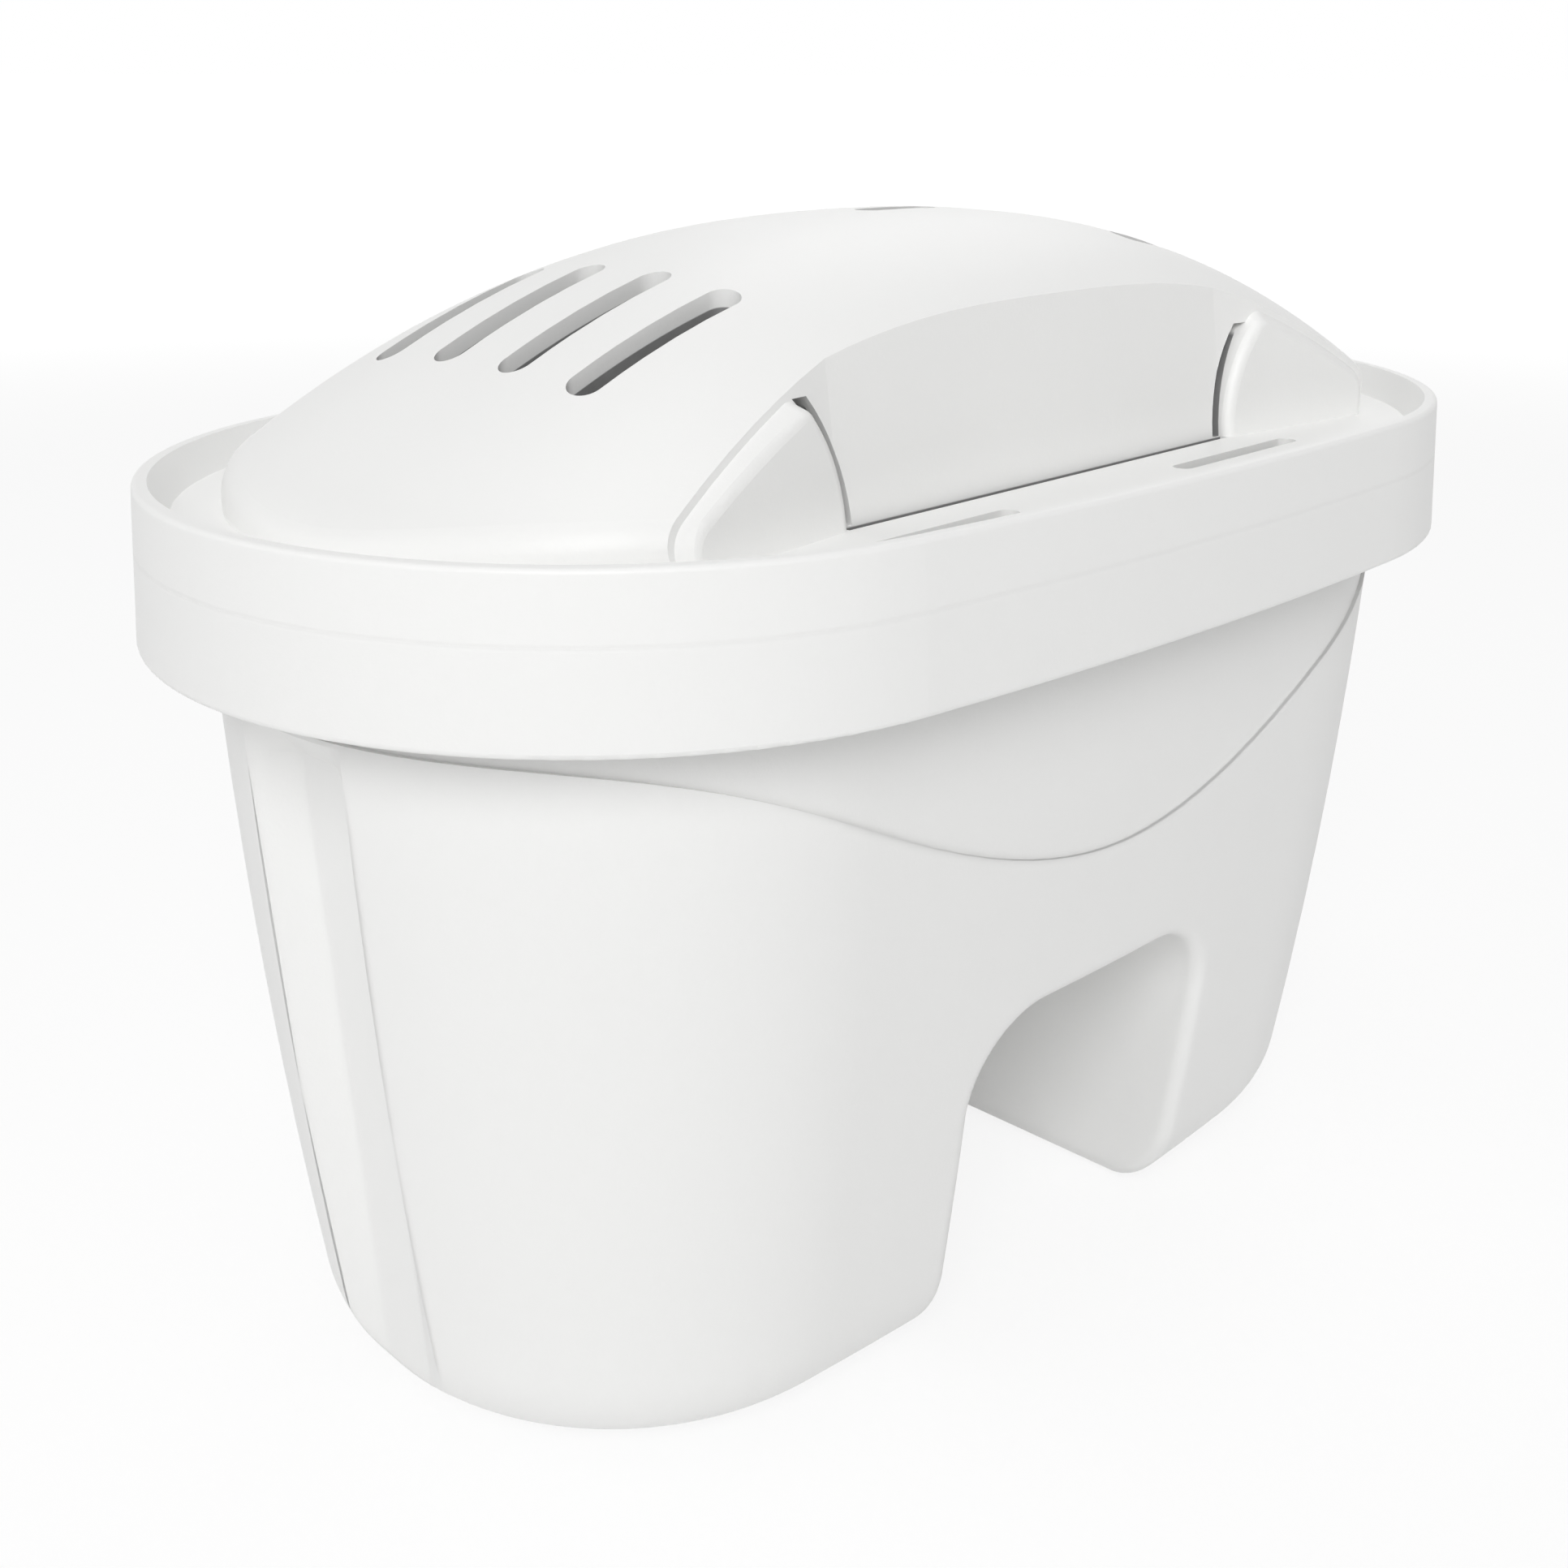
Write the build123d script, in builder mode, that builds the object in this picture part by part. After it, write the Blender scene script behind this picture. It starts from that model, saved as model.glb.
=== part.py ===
"""Drop-in filter cartridge for a water pitcher.

Millimetres, +Z up. The origin is the middle of the footprint, on the surface the feet stand on.
X runs along the cartridge, Y across it. The cup and the cover are moulded in white plastic and
welded together at half the height of the collar. Water enters through the slots in the domed
cover, sinks through the granules and leaves through the floors of the two feet.
"""

import math
import os

from build123d import *

# Collar seen from above: two unequal end arcs joined by two long, nearly flat side arcs
half_length = 55.0
left_end_radius = 30.2
right_end_radius = 31.9
side_radius = 361.7

# Collar and ledge
rim_height = 65.0
collar_height = 10.3
weld_below_rim = 4.2
ledge_below_rim = 2.2
collar_flare = 0.8
rim_land = 0.95
rim_foot = 2.1
flange_wall = 1.4
skirt_wall = 1.5
collar_round = 0.35

# Walls of the cup, which draws in towards its feet on a gentle curve
cup_wall = 1.2
floor_wall = 1.4
shoulder_inset = 3.8
draft_slope = 0.0188
draft_curve = 0.00109
foot_round = 8.5
sole_trim = 0.15

# Tunnel between the feet, and the middle of the features along X
feature_middle = -1.46
tunnel_half_width = 13.8
tunnel_height = 27.8
tunnel_arch_radius = 7.0
tunnel_foot_radius = 3.0
tunnel_mouth_round = 1.0

# Waist panel above the wave line
panel_depth = 0.3
wave_half_length = 48.0
wave_mid_reach = 22.0
wave_low_below_rim = 26.75
wave_mid_below_rim = 20.7
wave_high_below_rim = 12.5

# Guide groove down the left end
groove_half_width = 5.3
groove_floor_half_width = 2.4
groove_start_below_rim = 12.8
groove_full_below_rim = 15.5
groove_depth = 2.75
groove_draft = 0.055

# Domed cover, bulging from an oval plan with flatter sides than an ellipse
dome_rise = 16.7
dome_end_gap = 2.8
dome_side_gap = 2.5
dome_middle = 1.4
dome_plan_power = 2.9
dome_fall_power = 2.35
dome_wall = 2.5
dome_foot_inset = 5.3
dome_edge_round = 2.5

# Finger recesses in the long sides of the dome, each with a cheek at either end
grip_middle = -0.75
grip_foot = 18.9
grip_lean = 0.15
grip_wall = 1.5
cheek_proud = 0.8
cheek_lean = 0.1
cheek_flare = 0.125
cheek_step = 0.3
cheek_inner = 21.8
cheek_side_radius = 11.0
cheek_side_sweep = 75.0
cheek_corner_round = 1.2
cheek_edge_round = 0.8
foot_gap = 0.7
side_gap = 1.0
side_gap_rise = 8.2

# Slots for water and air
slit_length = 13.6
slit_width = 2.4
slit_reach = 27.5
slit_outer_row = 9.5
slit_inner_row = 3.2
crest_slot_length = 8.2
crest_slot_width = 2.0
crest_slot_reach = 5.6
ledge_slot_length = 15.8
ledge_slot_width = 1.5
ledge_slot_reach = 17.4
ledge_slot_row = 23.45
outlet_slot_length = 14.0
outlet_slot_width = 1.2
outlet_slot_pitch = 3.2
outlet_slot_count = 5
outlet_reach = 27.5

# Locating rib of the cover, screens and fill
rib_wall = 1.2
rib_height = 4.0
rib_clearance = 0.15
screen_thickness = 0.6
screen_clearance = 0.3
fill_clearance = 0.3
fill_below_rim = 15.0

# Levels and reaches that follow from the sizes above
collar_bottom = rim_height - collar_height
weld_level = rim_height - weld_below_rim
ledge_level = rim_height - ledge_below_rim
dome_top = ledge_level + dome_rise
rib_bottom = weld_level - rib_height
groove_start = rim_height - groove_start_below_rim
groove_full = rim_height - groove_full_below_rim
wave_low = rim_height - wave_low_below_rim
wave_mid = rim_height - wave_mid_below_rim
wave_high = rim_height - wave_high_below_rim
flare_at_weld = collar_flare * weld_below_rim / collar_height
far = 2 * half_length
front = Plane((feature_middle, 0, 0), x_dir=(1, 0, 0), z_dir=(0, -1, 0))
grip_front = Plane((grip_middle, 0, 0), x_dir=(1, 0, 0), z_dir=(0, -1, 0))

# Middles of the collar's arcs: the ends' lie on its axis, the sides' beyond the other side
left_x, right_x = left_end_radius - half_length, half_length - right_end_radius
gap_left, gap_right, span = side_radius - left_end_radius, side_radius - right_end_radius, right_x - left_x
along = (gap_left**2 - gap_right**2 + span**2) / (2 * span)
side_x, side_y = left_x + along, math.sqrt(gap_left**2 - along**2)
dome_half_length = half_length - dome_end_gap
dome_half_width = side_radius - side_y - dome_side_gap


def cup_inset(height):
    """How far the cup's outside stands in from the collar's plan at a height."""
    below = collar_bottom - height
    return shoulder_inset + draft_slope * below + draft_curve * below**2


def plan(inset):
    """Collar's plan moved inwards: four arcs that meet without a corner."""
    left, right, side = left_end_radius - inset, right_end_radius - inset, side_radius - inset
    to_left = math.atan2(side_y, left_x - side_x)
    to_right = math.atan2(side_y, right_x - side_x)

    def on_side(angle, sign):
        return side_x + side * math.cos(angle), sign * (side * math.sin(angle) - side_y)

    middle = (to_left + to_right) / 2
    with BuildSketch() as area:
        with BuildLine():
            ThreePointArc(on_side(to_left, 1), on_side(middle, 1), on_side(to_right, 1))
            ThreePointArc(on_side(to_right, 1), (right_x + right, 0), on_side(to_right, -1))
            ThreePointArc(on_side(to_right, -1), on_side(middle, -1), on_side(to_left, -1))
            ThreePointArc(on_side(to_left, -1), (left_x - left, 0), on_side(to_left, 1))
        make_face()
    return area.sketch


def tapered_block(inward, bottom, top, sections=5):
    """The cup's curved taper as a solid block, moved inwards."""
    with BuildPart() as block:
        for step in range(sections):
            height = bottom + (top - bottom) * step / (sections - 1)
            with BuildSketch(Plane.XY.offset(height)):
                add(plan(cup_inset(height) + inward))
        loft()
    return block.part


def rounded_block(inward, bottom, top):
    """The tapered block with the large round at the bottom of the feet."""
    with BuildPart() as block:
        add(tapered_block(inward, bottom, top))
        fillet(block.faces().sort_by(Axis.Z)[0].edges(), foot_round - inward)
    return block.part


def tunnel_block(grow):
    """The tunnel between the feet, arched above and flared at the floor, grown by a wall."""
    reach, crown = tunnel_half_width + grow, tunnel_height + grow
    arch, flare = tunnel_arch_radius + grow, tunnel_foot_radius - grow
    foot_x, foot_z = tunnel_half_width + tunnel_foot_radius, tunnel_foot_radius - sole_trim
    with BuildPart() as block:
        with BuildSketch(front):
            with BuildLine():
                Line((0, crown), (reach - arch, crown))
                CenterArc((reach - arch, crown - arch), arch, 90, -90)
                Line((reach, crown - arch), (reach, foot_z))
                CenterArc((foot_x, foot_z), flare, 180, 90)
                Polyline((foot_x, foot_z - flare), (foot_x, -flare), (0, -flare))
                mirror(about=Plane.YZ)
            make_face()
        extrude(amount=far, both=True)
    return block.part


def groove_block(grow):
    """The guide groove: its floor is steeper than the cup's end, so it runs out at the foot."""
    lip, floor_lip = groove_half_width + grow, groove_floor_half_width + grow / 2

    def lip_at(height):
        radius = left_end_radius - cup_inset(height)
        return left_end_radius - half_length - math.sqrt(radius**2 - groove_half_width**2)

    def floor_at(height):
        return cup_inset(groove_full) - half_length + groove_depth + groove_draft * (groove_full - height)

    stations = [(groove_start, lip_at(groove_start))]
    stations += [(height, floor_at(height)) for height in (groove_full, groove_full / 2, 0)]
    with BuildPart() as block:
        for height, floor_x in stations:
            lip_x, deep_x = lip_at(height) + grow, floor_x + grow
            with BuildSketch(Plane.XY.offset(height)):
                with BuildLine():
                    Polyline((-far, lip), (lip_x, lip), (deep_x, floor_lip),
                             (deep_x, -floor_lip), (lip_x, -lip), (-far, -lip), close=True)
                make_face()
        loft(ruled=True)
    return block.part


def cavity_block(inward, bottom, top):
    """Space inside the cup: the tapered block less the walls of the tunnel and the groove."""
    with BuildPart() as space:
        add(rounded_block(inward, bottom, top))
        add(tunnel_block(inward), mode=Mode.SUBTRACT)
        add(groove_block(inward), mode=Mode.SUBTRACT)
    return space.part


def dome_block(inward, floor, edge_round):
    """Solid under the cover's domed surface, moved inwards, down to a flat floor."""
    reach_x, reach_y = dome_half_length - inward, dome_half_width - inward

    def on_dome(u, v):
        spread = (abs(u)**dome_plan_power + abs(v)**dome_plan_power)**(1 / dome_plan_power)
        return dome_middle + reach_x * u, reach_y * v, dome_top - inward - dome_rise * spread**dome_fall_power

    steps, edge = 14, 1.15
    grid = [[on_dome(edge * i / steps, edge * j / steps) for j in range(-steps, steps + 1)]
            for i in range(-steps, steps + 1)]
    with BuildPart() as block:
        extrude(Face.make_surface_from_array_of_points(grid), amount=dome_top, dir=(0, 0, -1))
        split(bisect_by=Plane.XY.offset(floor), keep=Keep.TOP)
        with BuildSketch(Plane.XY.offset(floor)):
            add(plan(dome_foot_inset + inward))
        extrude(amount=dome_top, mode=Mode.INTERSECT)
        if edge_round:
            fillet(block.faces().sort_by(Axis.Z)[-1].edges(), edge_round)
    return block.part


def side_slabs(outer, outer_lean, inner, inner_lean, floor):
    """Upright slab on each long side between two leaning planes, flared beyond the grip."""
    def corner(foot, lean, height):
        return (-foot + lean * (height - ledge_level), height)

    with BuildPart() as slabs:
        for start, length, flare in ((0, cheek_inner, 0), (cheek_inner, far, cheek_flare)):
            with BuildSketch(Plane.YZ.offset(grip_middle + start)):
                with BuildLine():
                    Polyline(corner(outer, outer_lean, floor), corner(outer, outer_lean, far),
                             corner(inner, inner_lean, far), corner(inner, inner_lean, floor),
                             close=True)
                make_face()
            extrude(amount=length, dir=(1, -flare, 0))
        mirror(about=Plane.YZ.offset(grip_middle))
        mirror(about=Plane.XZ)
    return slabs.part


def cheek_blocks():
    """The four cheeks: dome-shaped slabs that stand a step below the dome's own surface."""
    with BuildPart() as blocks:
        add(dome_block(cheek_step, weld_level, dome_edge_round))
        add(side_slabs(grip_foot + cheek_proud, cheek_lean, grip_foot - grip_wall, grip_lean, weld_level),
            mode=Mode.INTERSECT)
        with BuildSketch(grip_front):
            with BuildLine():
                side = CenterArc((cheek_inner + cheek_side_radius, ledge_level), cheek_side_radius,
                                 180, -cheek_side_sweep)
                Polyline(side @ 1, ((side @ 1).X, far), (far, far), (far, weld_level),
                         (cheek_inner, weld_level), side @ 0)
            make_face()
            mirror(about=Plane.YZ)
        extrude(amount=far, both=True, mode=Mode.INTERSECT)
        corners = blocks.edges().filter_by(
            lambda edge: edge.center().Z > ledge_level + cheek_edge_round and abs((edge % 0.5).Y) > 0.5)
        fillet(corners.filter_by(lambda edge: edge.length > grip_wall), cheek_corner_round)
        outside = blocks.faces().filter_by(GeomType.PLANE).filter_by(
            lambda face: abs(face.normal_at().Y) > 0.9).sort_by(lambda face: abs(face.center().Y))[-4:]
        fillet(outside.edges().filter_by(lambda edge: edge.center().Z > ledge_level), cheek_edge_round)
    return blocks.part


def gap_block():
    """Gaps beside the cheeks, cut through the grip walls from the ledge to the cheeks' tops."""
    with BuildPart() as gaps:
        with BuildSketch(grip_front):
            with BuildLine():
                centre = (cheek_inner + cheek_side_radius, ledge_level)
                near = CenterArc(centre, cheek_side_radius, 180, -cheek_side_sweep)
                away = CenterArc(centre, cheek_side_radius + side_gap, 180, -cheek_side_sweep)
                Polyline(near @ 0, (cheek_inner, weld_level), (cheek_inner - side_gap, weld_level), away @ 0)
                Line(near @ 1, away @ 1)
            make_face()
            mirror(about=Plane.YZ)
        extrude(amount=far, both=True)
        add(side_slabs(grip_foot + foot_gap, 0, grip_foot - grip_wall - foot_gap, grip_lean, weld_level),
            mode=Mode.INTERSECT)
        split(bisect_by=Plane.XY.offset(ledge_level + side_gap_rise), keep=Keep.BOTTOM)
    return gaps.part


def recessed_dome():
    """The dome cut back to its leaning grip walls, with the cheeks set in front of them."""
    with BuildPart() as dome:
        add(dome_block(0, weld_level, dome_edge_round))
        add(side_slabs(far, 0, grip_foot, grip_lean, ledge_level), mode=Mode.SUBTRACT)
        add(cheek_blocks())
        add(gap_block(), mode=Mode.SUBTRACT)
    return dome.part


def cover_hollow():
    """Space under the dome, between the grip walls."""
    with BuildPart() as hollow:
        add(dome_block(dome_wall, weld_level, 0))
        add(side_slabs(far, 0, grip_foot - grip_wall, grip_lean, weld_level), mode=Mode.SUBTRACT)
    return hollow.part


def collar_skirt():
    """Lower half of the collar: a flange with a skirt that hangs clear of the cup."""
    with BuildPart() as skirt:
        with BuildSketch(Plane.XY.offset(collar_bottom)):
            add(plan(-collar_flare))
        with BuildSketch(Plane.XY.offset(weld_level)):
            add(plan(-flare_at_weld))
        loft(ruled=True)
        fillet(skirt.faces().sort_by(Axis.Z)[0].edges(), collar_round)
        with BuildSketch(Plane.XY.offset(collar_bottom)):
            add(plan(skirt_wall - collar_flare))
        extrude(amount=weld_level - flange_wall - collar_bottom, mode=Mode.SUBTRACT)
    return skirt.part


def foot_area(side):
    """Flat part of a foot's floor, left (-1) or right (1) of the tunnel."""
    tunnel_side = tunnel_half_width + tunnel_foot_radius + screen_clearance
    with BuildSketch() as area:
        add(plan(cup_inset(0) + foot_round + screen_clearance))
        with Locations((feature_middle + side * (tunnel_side - far), 0)):
            Rectangle(2 * far, 2 * far, mode=Mode.SUBTRACT)
    return area.sketch


# Cup: feet, tunnel, groove, waist panel and lower half of the collar in one thin moulding
with BuildPart() as cup:
    add(rounded_block(0, -sole_trim, weld_level))
    add(tunnel_block(0), mode=Mode.SUBTRACT)
    mouths = cup.edges(Select.LAST).filter_by(lambda edge: abs(edge.center().Y) > tunnel_arch_radius)
    fillet(mouths, tunnel_mouth_round)
    split(bisect_by=Plane.XY, keep=Keep.TOP)
    with BuildSketch(front):
        with BuildLine():
            wave = Spline((-wave_half_length, wave_high), (-wave_mid_reach, wave_mid), (0, wave_low),
                          (wave_mid_reach, wave_mid), (wave_half_length, wave_high),
                          tangents=[(1, 0), (1, 0)])
            Polyline(wave @ 1, (far, wave_high), (far, rim_height), (-far, rim_height),
                     (-far, wave_high), wave @ 0)
        make_face()
    extrude(amount=far, both=True, mode=Mode.SUBTRACT)
    add(tapered_block(panel_depth, tunnel_height + tunnel_arch_radius, weld_level))
    add(groove_block(0), mode=Mode.SUBTRACT)
    add(collar_skirt())
    add(cavity_block(cup_wall, floor_wall, weld_level), mode=Mode.SUBTRACT)
    with BuildSketch():
        for reach in (-outlet_reach, outlet_reach):
            with Locations((feature_middle + reach, 0)):
                with GridLocations(outlet_slot_pitch, outlet_slot_pitch, outlet_slot_count, 1):
                    SlotOverall(outlet_slot_length, outlet_slot_width, rotation=90)
    extrude(amount=floor_wall, mode=Mode.SUBTRACT)

# Cover: upper half of the collar, ledge, dome with its recesses and slots, and the locating rib
with BuildPart() as lid:
    with BuildSketch(Plane.XY.offset(weld_level)):
        add(plan(-flare_at_weld))
    with BuildSketch(Plane.XY.offset(rim_height)):
        add(plan(0))
    loft(ruled=True)
    fillet(lid.faces().sort_by(Axis.Z)[-1].edges(), collar_round)
    with BuildSketch(Plane.XY.offset(ledge_level)):
        add(plan(rim_foot))
    with BuildSketch(Plane.XY.offset(rim_height)):
        add(plan(rim_land))
    loft(ruled=True, mode=Mode.SUBTRACT)
    add(recessed_dome())
    with BuildSketch(Plane.XY.offset(rib_bottom)):
        add(plan(cup_inset(weld_level) + cup_wall + rib_clearance))
        add(plan(cup_inset(weld_level) + cup_wall + rib_clearance + rib_wall), mode=Mode.SUBTRACT)
    extrude(amount=rib_height)
    add(cover_hollow(), mode=Mode.SUBTRACT)
    with BuildSketch(Plane.XY.offset(weld_level)):
        gap_row = grip_foot + foot_gap / 2
        with Locations((grip_middle, gap_row), (grip_middle, -gap_row)):
            Rectangle(2 * cheek_inner, foot_gap)
        for reach in (-ledge_slot_reach, ledge_slot_reach):
            with Locations((feature_middle + reach, ledge_slot_row), (feature_middle + reach, -ledge_slot_row)):
                SlotOverall(ledge_slot_length, ledge_slot_width)
    extrude(amount=weld_below_rim - ledge_below_rim, mode=Mode.SUBTRACT)
    with BuildSketch(Plane.XY.offset(ledge_level)):
        for row in (-slit_outer_row, -slit_inner_row, slit_inner_row, slit_outer_row):
            with Locations((feature_middle - slit_reach, row), (feature_middle + slit_reach, row)):
                SlotOverall(slit_length, slit_width)
        with Locations((feature_middle + crest_slot_reach, 0)):
            SlotOverall(crest_slot_length, crest_slot_width)
    extrude(amount=far, mode=Mode.SUBTRACT)

# Screen clamped under the cover's rib
with BuildPart() as inlet_screen:
    with BuildSketch(Plane.XY.offset(rib_bottom - screen_thickness)):
        add(plan(cup_inset(rib_bottom) + cup_wall + screen_clearance))
    extrude(amount=screen_thickness)

# Screens on the floors of the two feet
with BuildPart() as outlet_screen_left:
    with BuildSketch(Plane.XY.offset(floor_wall)):
        add(foot_area(-1))
    extrude(amount=screen_thickness)

with BuildPart() as outlet_screen_right:
    with BuildSketch(Plane.XY.offset(floor_wall)):
        add(foot_area(1))
    extrude(amount=screen_thickness)

# Fill of carbon and resin granules, settled on the screens in the feet
with BuildPart() as granule_bed:
    add(cavity_block(cup_wall + fill_clearance, floor_wall + fill_clearance, rim_height - fill_below_rim))
    split(bisect_by=Plane.XY.offset(floor_wall + screen_thickness), keep=Keep.TOP)

cup.part.label = "cup"
lid.part.label = "lid"
inlet_screen.part.label = "inlet_screen"
outlet_screen_left.part.label = "outlet_screen_left"
outlet_screen_right.part.label = "outlet_screen_right"
granule_bed.part.label = "granule_bed"

os.makedirs("parts", exist_ok=True)
export_step(cup.part, "parts/cup.step")
export_step(lid.part, "parts/lid.step")
export_step(inlet_screen.part, "parts/inlet_screen.step")
export_step(outlet_screen_left.part, "parts/outlet_screen_left.step")
export_step(outlet_screen_right.part, "parts/outlet_screen_right.step")
export_step(granule_bed.part, "parts/granule_bed.step")
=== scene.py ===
"""Drop-in filter cartridge for a water pitcher, dressed for its picture.

Everything is in metres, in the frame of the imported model: the cartridge stands on the floor at
height 0, X runs along it and Y across it.
"""

import math

import bpy
from mathutils import Matrix, Vector

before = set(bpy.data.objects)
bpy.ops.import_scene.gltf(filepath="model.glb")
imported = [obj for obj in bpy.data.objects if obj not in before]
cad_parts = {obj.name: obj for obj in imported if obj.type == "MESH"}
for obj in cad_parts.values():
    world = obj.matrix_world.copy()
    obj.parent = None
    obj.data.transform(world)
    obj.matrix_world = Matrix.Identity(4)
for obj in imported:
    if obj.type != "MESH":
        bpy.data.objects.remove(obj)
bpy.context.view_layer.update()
bpy.ops.object.select_all(action="DESELECT")
mm = 0.001


# Cup: the cartridge's lower half, one thin moulding in white polypropylene with a satin skin.
# It is welded to the cover half-way up the collar, and its feet stand either side of a tunnel.
# The skin is faintly uneven, as moulded plastic is, with a thread of flash along the weld.

class Signal:
    """A shader socket that takes part in ordinary sums."""

    def __init__(self, finish, socket):
        self.finish, self.socket = finish, socket

    def sum(self, operation, *values, clamp=False):
        return self.finish.node("ShaderNodeMath", {"operation": operation, "use_clamp": clamp},
                                {place: value for place, value in enumerate(values)})

    def __add__(self, other): return self.sum("ADD", self, other)
    def __radd__(self, other): return self.sum("ADD", other, self)
    def __sub__(self, other): return self.sum("SUBTRACT", self, other)
    def __rsub__(self, other): return self.sum("SUBTRACT", other, self)
    def __mul__(self, other): return self.sum("MULTIPLY", self, other)
    def __rmul__(self, other): return self.sum("MULTIPLY", other, self)
    def __truediv__(self, other): return self.sum("DIVIDE", self, other)
    def __pow__(self, other): return self.sum("POWER", self, other)
    def __neg__(self): return self.sum("MULTIPLY", self, -1)
    def __abs__(self): return self.sum("ABSOLUTE", self)
    def sine(self): return self.sum("SINE", self)
    def larger(self, other): return self.sum("MAXIMUM", self, other)

    def ramp(self, low, high):
        """0 where the signal is at low, 1 where it is at high, and smooth between them."""
        return self.finish.node("ShaderNodeMapRange", {"interpolation_type": "SMOOTHSTEP"},
                                {"Value": self, "From Min": low, "From Max": high}, "Result")


class Finish:
    """A material whose nodes are laid out in code."""

    def __init__(self, name):
        self.material = bpy.data.materials.new(name)
        self.material.use_nodes = True
        self.tree = self.material.node_tree
        self.tree.nodes.clear()
        self.place = Signal(self, self.tree.nodes.new("ShaderNodeTexCoord").outputs["Object"])

    def node(self, kind, settings, inputs, out=0):
        made = self.tree.nodes.new(kind)
        for name, value in settings.items():
            setattr(made, name, value)
        for name, value in inputs.items():
            if isinstance(value, Signal):
                self.tree.links.new(value.socket, made.inputs[name])
            else:
                made.inputs[name].default_value = value
        return Signal(self, made.outputs[out]) if made.outputs else None

    def noise(self, size, detail=2.0, rough=0.5):
        """Soft blotches of about the given size, from 0 to 1."""
        return self.node("ShaderNodeTexNoise", {},
                         {"Vector": self.place, "Scale": 1 / size, "Detail": detail,
                          "Roughness": rough})

    def split(self):
        """The three coordinates of the place on the piece."""
        parts = self.node("ShaderNodeSeparateXYZ", {}, {"Vector": self.place})
        outputs = parts.socket.node.outputs
        return [Signal(self, outputs[axis]) for axis in "XYZ"]

    def blend(self, amount, first, second):
        """Colour between two others."""
        mixed = self.node("ShaderNodeMix", {"data_type": "RGBA"}, {0: amount}, 2)
        for slot, colour in ((6, first), (7, second)):
            if isinstance(colour, Signal):
                self.tree.links.new(colour.socket, mixed.socket.node.inputs[slot])
            else:
                mixed.socket.node.inputs[slot].default_value = (*colour, 1)
        return mixed

    def bump(self, height, depth, under=None):
        """Normal of a surface raised by the height signal, which is 1 at the given depth."""
        sockets = {"Height": height, "Distance": depth, "Strength": 1.0}
        if under:
            sockets["Normal"] = under
        return self.node("ShaderNodeBump", {}, sockets)

    def close(self, **sockets):
        names = {name.replace("_", " "): value for name, value in sockets.items()}
        shader = self.node("ShaderNodeBsdfPrincipled", {}, names, "BSDF")
        self.node("ShaderNodeOutputMaterial", {}, {"Surface": shader})
        return self.material


def moulded_white(name, tone, weld_height, soft_below=None, painted_inner_shade=None):
    """White satin plastic with a fine skin, soft flow marks and a faint line at the weld.

    Edges lower than soft_below are drawn a little rounded, as the mould leaves them. Where the
    inner-side mask is 1 the moulding is painted a mottled dark grey, as painted shade for its dim
    inside.
    """
    flow_size, grain_size, waver_size, satin_size = 22 * mm, 0.35 * mm, 6 * mm, 9 * mm
    waver_width, seam_core, seam_edge = 0.1 * mm, 0.03 * mm, 0.25 * mm
    grain_depth, seam_depth = 0.012 * mm, 0.02 * mm
    edge_round, edge_fade = 0.9 * mm, 7 * mm
    skin = Finish(name)
    x, y, z = skin.split()
    flow = skin.noise(flow_size, 3.0, 0.55)
    grain = skin.noise(grain_size, 3.0, 0.6)
    waver = (skin.noise(waver_size) - 0.5) * waver_width
    seam = 1 - abs(z - weld_height + waver).ramp(seam_core, seam_edge)
    colour = skin.blend(flow, [0.985 * part for part in tone], tone)
    colour = skin.blend(seam * 0.05, colour, (0.45, 0.45, 0.44))
    # Painted shade: where the inner-side mask is 1 the colour goes to a mottled dark grey.
    if painted_inner_shade:
        shade = skin.blend(skin.noise(1.5 * mm), (0.20, 0.20, 0.20), (0.30, 0.30, 0.30))
        colour = skin.blend(painted_inner_shade(x, y, z), colour, shade)
    plain = skin.node("ShaderNodeNewGeometry", {}, {}, "Normal")
    if soft_below:
        rounded = skin.node("ShaderNodeBevel", {"samples": 6}, {"Radius": edge_round})
        above = z.ramp(soft_below - edge_fade, soft_below)
        plain = skin.node("ShaderNodeMix", {"data_type": "VECTOR"},
                          {0: above, 4: rounded, 5: plain}, 1)
    soft = skin.bump(grain, grain_depth, plain)
    normal = skin.bump(1 - seam, seam_depth, soft)
    return skin.close(Base_Color=colour, Roughness=0.40 + 0.10 * skin.noise(satin_size),
                      Normal=normal, IOR=1.49)


weld_height = 60.8 * mm
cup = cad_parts["cup"]
cup.data.materials.clear()
cup.data.materials.append(moulded_white("cup_white", (0.935, 0.935, 0.925), weld_height,
                                         soft_below=53 * mm))


# Cover: the upper moulding, with the slotted dome, the two finger recesses and the ledge.
# It comes from the same white plastic as the cup. Behind the slots and gaps its inside is
# painted a mottled dark grey, as painted shade where little light reaches.

dome_middle, dome_reach, dome_half_width = 1.4 * mm, 52.2 * mm, 29.63 * mm
dome_plan_power, dome_fall_power = 2.9, 2.35
ledge_height, dome_height, dome_skin = 62.8 * mm, 16.7 * mm, 1.05 * mm
grip_middle, grip_foot, grip_lean = -0.75 * mm, 18.9 * mm, 0.15
cheek_centre, gap_radius, gap_top = 32.8 * mm, 11.5 * mm, 70.2 * mm
screen_reach, slot_reach, unshaded_from = 40 * mm, 22 * mm, 16 * mm


# Mask for the painted shade on the cover's inside; the band above the grip gaps is left unshaded.
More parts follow.
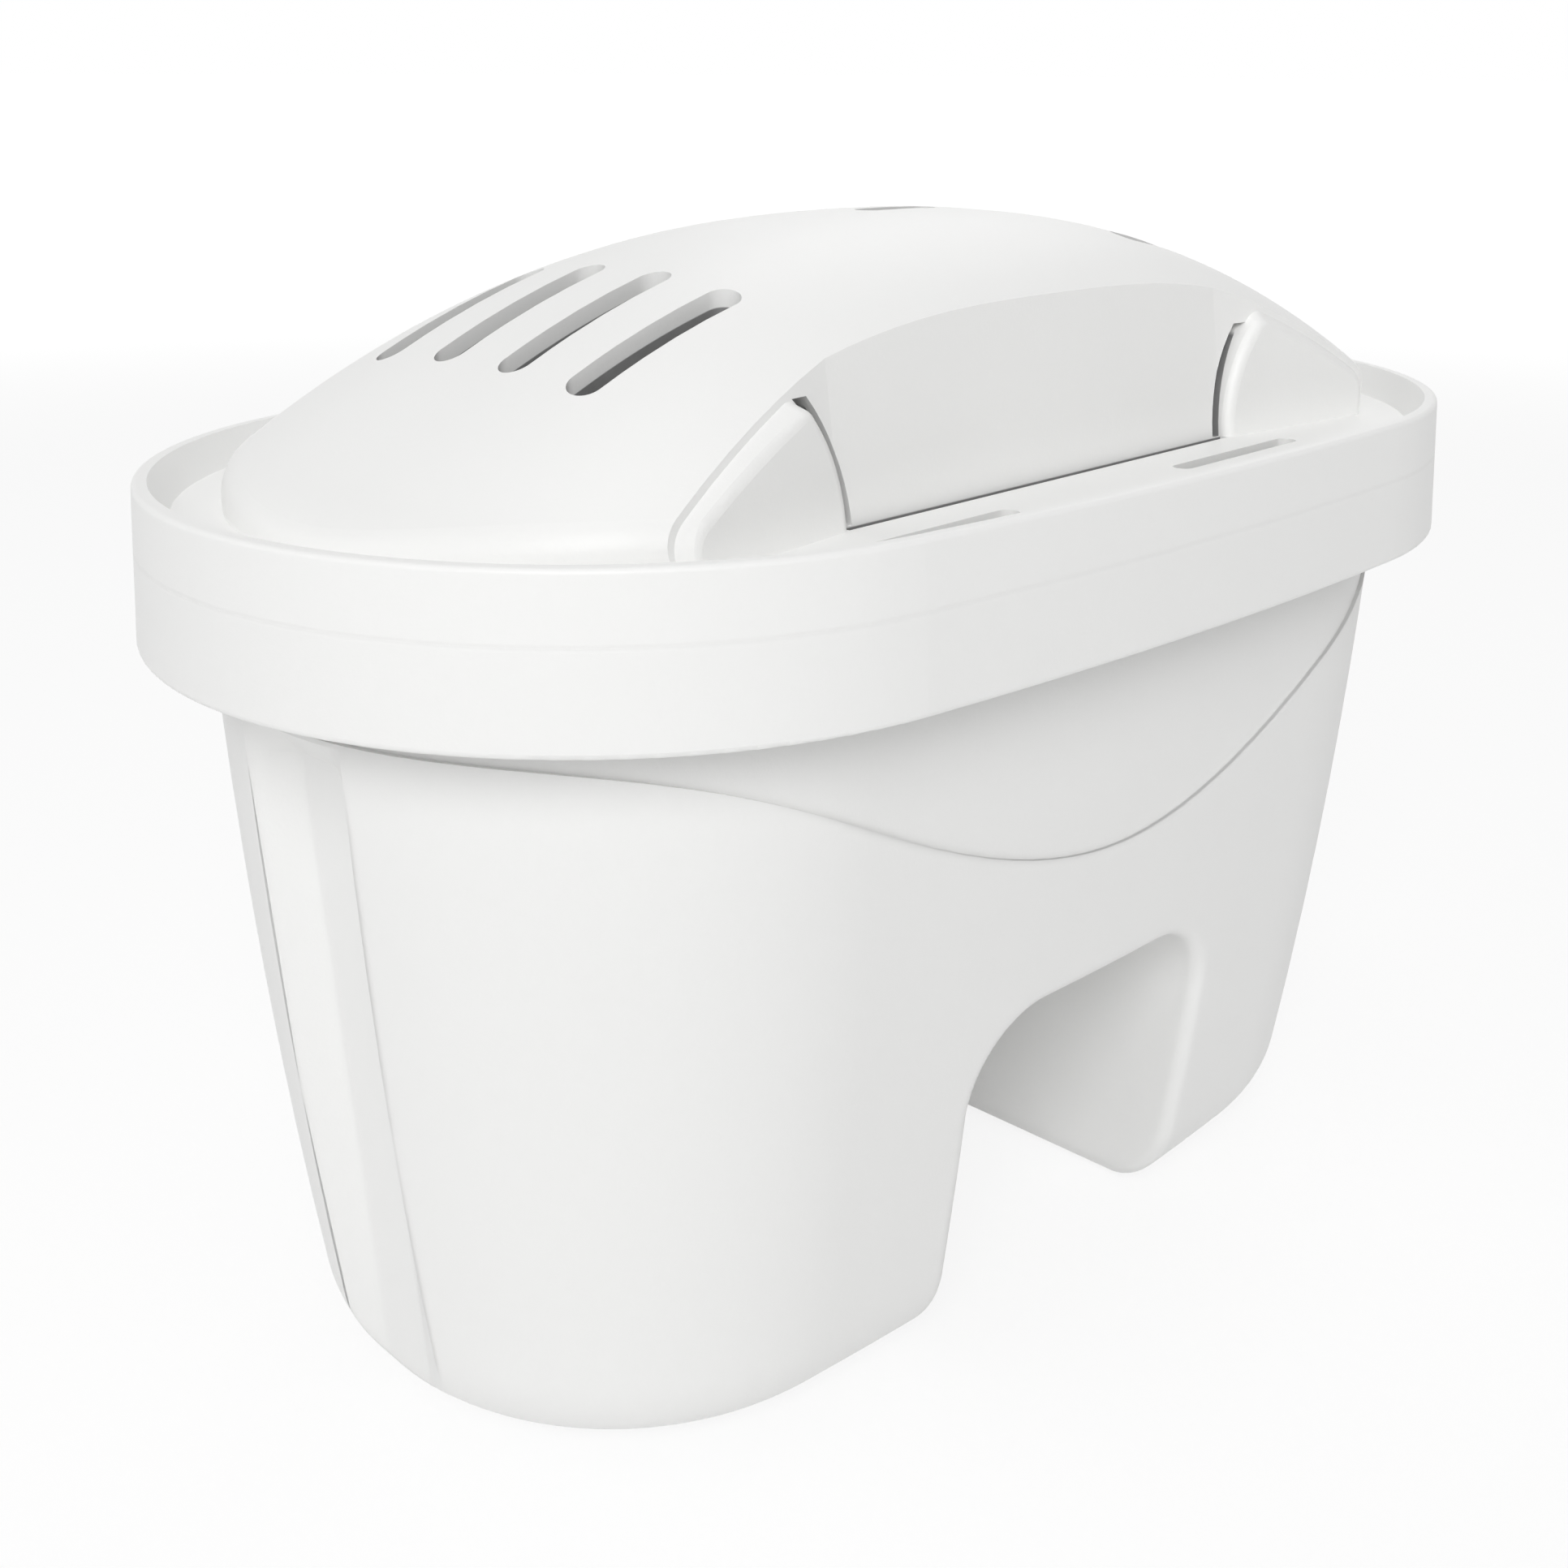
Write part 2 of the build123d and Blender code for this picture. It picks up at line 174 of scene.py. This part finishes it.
def inside_cover(x, y, z):
    """1 on the moulding's inner side, reckoned from the dome's and the grip walls' outer faces."""
    along, across = abs((x - dome_middle) / dome_reach), abs(y / dome_half_width)
    plan = along ** dome_plan_power + across ** dome_plan_power
    dome = ledge_height + dome_height * (1 - plan ** (dome_fall_power / dome_plan_power))
    under_dome = (dome - z).ramp(dome_skin, dome_skin + 0.10 * mm)
    above_screen = (screen_reach - abs(x - dome_middle)).ramp(0, 1 * mm)
    rise = z - ledge_height
    from_cheek = ((abs(x - grip_middle) - cheek_centre) ** 2 + rise * rise) ** 0.5
    grip_side = (from_cheek - gap_radius).ramp(0, 0.1 * mm)
    behind_grip = grip_foot - grip_lean * rise - abs(y) - grip_side * (0.5 * mm)
    unshaded_band = (z - gap_top).ramp(-0.2 * mm, 0.2 * mm) * (abs(y) - unshaded_from).ramp(0, 0.5 * mm)
    under_ledge = (-rise).ramp(0.02 * mm, 0.12 * mm)
    foot_slot = (grip_foot + 0.1 * mm - abs(y)).ramp(0, 0.05 * mm)
    beside_grip = (slot_reach - abs(x - grip_middle)).ramp(0, 0.1 * mm)
    hollow = under_dome * above_screen * behind_grip.ramp(0.04 * mm, 0.12 * mm) * (1 - unshaded_band)
    return hollow.larger(under_ledge * foot_slot * beside_grip)


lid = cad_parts["lid"]
lid.data.materials.clear()
lid.data.materials.append(moulded_white("lid_white", (0.945, 0.945, 0.935), weld_height,
                                         painted_inner_shade=inside_cover))


# Screens: fine woven fabric, one under the cover and one on the floor of each foot.
# The threads cross every third of a millimetre and are clamped or welded at the edges.
thread_pitch, thread_depth = 0.33 * mm, 0.12 * mm
weave = Finish("screen_weave")
x, y, z = weave.split()
warp, weft = (abs((way * (math.pi / thread_pitch)).sine()) for way in (x, y))
thread = warp.larger(weft)
shade = weave.blend(thread.ramp(0.25, 0.8), (0.05, 0.05, 0.05), (0.20, 0.20, 0.19))
woven = weave.close(Base_Color=shade, Roughness=0.7, Normal=weave.bump(thread, thread_depth))
for screen in ("inlet_screen", "outlet_screen_left", "outlet_screen_right"):
    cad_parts[screen].data.materials.clear()
    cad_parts[screen].data.materials.append(woven)


# Fill: black carbon grains mixed with amber resin beads, settled in both feet.
grain_width, grain_rise = 0.9 * mm, 0.4 * mm
grains = Finish("carbon_and_resin")
cells = {"Vector": grains.place, "Scale": 1 / grain_width}
kind = grains.node("ShaderNodeTexVoronoi", {}, cells, "Color")
depth = grains.node("ShaderNodeTexVoronoi", {}, cells, "Distance")
which = grains.node("ShaderNodeSeparateColor", {}, {"Color": kind})
colour = grains.blend(which.ramp(0.45, 0.55), (0.02, 0.02, 0.02), (0.55, 0.36, 0.14))
mixed = grains.close(Base_Color=colour, Roughness=0.55, Normal=grains.bump(1 - depth, grain_rise))
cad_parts["granule_bed"].data.materials.clear()
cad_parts["granule_bed"].data.materials.append(mixed)


# Floor: a plain pale sheet that runs out of view; it keeps the cartridge's soft shadow.
floor_size, floor_gap, paper_glow, shadow_share = 40, 0.02 * mm, 1.04, 0.22
bpy.ops.mesh.primitive_plane_add(size=floor_size, location=(0, 0, -floor_gap))
floor = bpy.context.object
floor.name = "floor"
paper = Finish("white_paper")
seen = paper.node("ShaderNodeLightPath", {}, {}, "Is Camera Ray")
for ray in ("Is Glossy Ray", "Is Transmission Ray"):
    seen = seen.larger(paper.node("ShaderNodeLightPath", {}, {}, ray))
x, y, z = paper.split()
far = (x * x + y * y).ramp(0.10, 0.45)
sheen = paper.node("ShaderNodeBsdfDiffuse", {}, {"Color": (0.95, 0.95, 0.95, 1)})
glow = paper.node("ShaderNodeEmission", {}, {"Color": (1, 1, 1, 1), "Strength": paper_glow})
glowing = seen * (1 - shadow_share + far * shadow_share)
both = paper.node("ShaderNodeMixShader", {}, {0: glowing, 1: sheen, 2: glow})
paper.node("ShaderNodeOutputMaterial", {}, {"Surface": both})
floor.data.materials.append(paper.material)


# Light: a pale tent all round, with a broad lamp to the left of the camera, one overhead and
# two weak ones behind the cartridge.
tent_light, background_light = 0.325, 1.0
world = bpy.data.worlds.new("studio")
bpy.context.scene.world = world
world.use_nodes = True
tent = world.node_tree
tent.nodes.clear()
path = tent.nodes.new("ShaderNodeLightPath")
seen_or_mirrored = path.outputs["Is Camera Ray"]
for ray in ("Is Glossy Ray", "Is Transmission Ray"):
    either = tent.nodes.new("ShaderNodeMath")
    either.operation = "MAXIMUM"
    tent.links.new(seen_or_mirrored, either.inputs[0])
    tent.links.new(path.outputs[ray], either.inputs[1])
    seen_or_mirrored = either.outputs[0]
choice, out = tent.nodes.new("ShaderNodeMixShader"), tent.nodes.new("ShaderNodeOutputWorld")
tent.links.new(seen_or_mirrored, choice.inputs[0])
for slot, strength in ((1, tent_light), (2, background_light)):
    sky = tent.nodes.new("ShaderNodeBackground")
    sky.inputs["Color"].default_value = (1, 1, 1, 1)
    sky.inputs["Strength"].default_value = strength
    tent.links.new(sky.outputs[0], choice.inputs[slot])
tent.links.new(choice.outputs[0], out.inputs["Surface"])

middle = Vector((0, 0, 40 * mm))
lamp_width = 0.5
for name, place, power in (("key_lamp", (-0.565, -0.474, 0.556), 3.8),
                           ("top_lamp", (-0.068, -0.039, 0.937), 1.0),
                           ("back_lamp", (-0.597, 0.501, 0.490), 0.42),
                           ("far_lamp", (0.604, 0.423, 0.556), 0.65)):
    bpy.ops.object.light_add(type="AREA", location=place)
    lamp = bpy.context.object
    lamp.name = name
    lamp.data.shape, lamp.data.size, lamp.data.energy = "DISK", lamp_width, power
    lamp.rotation_mode = "QUATERNION"
    lamp.rotation_quaternion = (middle - Vector(place)).to_track_quat("-Z", "Y")


# Camera: close to the cartridge and a little above it, looking at its left front corner.
bpy.ops.object.camera_add(location=(-106.20 * mm, -93.65 * mm, 89.07 * mm))
camera = bpy.context.object
camera.data.sensor_width, camera.data.lens = 36, 42.749
camera.data.clip_start = 10 * mm
camera.rotation_mode = "QUATERNION"
gaze = Vector((0.67681, 0.64298, -0.35848)).to_track_quat("-Z", "Y")
camera.rotation_quaternion = gaze @ Matrix.Rotation(math.radians(0.2717), 3, "Z").to_quaternion()
bpy.context.scene.camera = camera
bpy.context.scene.view_settings.view_transform = "Standard"
